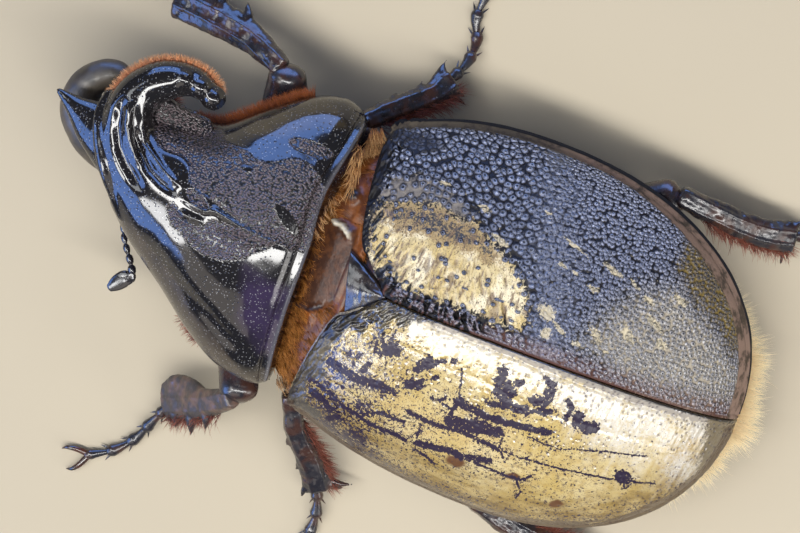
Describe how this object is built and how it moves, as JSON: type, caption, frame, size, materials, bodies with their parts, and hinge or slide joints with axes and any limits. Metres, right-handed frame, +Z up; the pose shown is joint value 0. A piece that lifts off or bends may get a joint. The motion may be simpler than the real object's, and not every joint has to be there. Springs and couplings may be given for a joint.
{
  "type": "hercules beetle display model",
  "caption": "Life-size standing model of a horned rhinoceros beetle with a domed shield, curled horns, wing cases and jointed legs.",
  "frame": {"origin": "middle of the model's footprint, on the floor it stands on", "axes": "+Y towards the beetle's tail, +X towards its left side, +Z up"},
  "size_m": [0.078, 0.1074, 0.0256],
  "materials": {
    "black_cuticle": "glossy",
    "straw_cuticle": "semi-gloss",
    "slate_cuticle": "satin",
    "amber_membrane": "satin",
    "eye": "glossy"
  },
  "bodies": {
    "root": {"pronotum": "black_cuticle", "thoracic_horn": "black_cuticle", "cephalic_horn": "black_cuticle", "head": "black_cuticle", "eye_left": "eye", "eye_right": "eye", "antenna_left": "black_cuticle", "antenna_right": "black_cuticle", "mandible_left": "black_cuticle", "mandible_right": "black_cuticle", "palp_left": "black_cuticle", "palp_right": "black_cuticle", "scutellum": "black_cuticle", "elytron_left": "straw_cuticle", "elytron_right": "slate_cuticle", "mesothorax": "amber_membrane", "metathorax": "black_cuticle", "abdomen": "black_cuticle", "fore_left_femur": "black_cuticle", "fore_left_tibia": "black_cuticle", "fore_left_tarsus": "black_cuticle", "fore_right_femur": "black_cuticle", "fore_right_tibia": "black_cuticle", "fore_right_tarsus": "black_cuticle", "mid_left_femur": "black_cuticle", "mid_left_tibia": "black_cuticle", "mid_left_tarsus": "black_cuticle", "mid_right_femur": "black_cuticle", "mid_right_tibia": "black_cuticle", "mid_right_tarsus": "black_cuticle", "hind_left_femur": "black_cuticle", "hind_left_tibia": "black_cuticle", "hind_left_tarsus": "black_cuticle", "hind_right_femur": "black_cuticle", "hind_right_tibia": "black_cuticle", "hind_right_tarsus": "black_cuticle"}
  },
  "joints": []
}
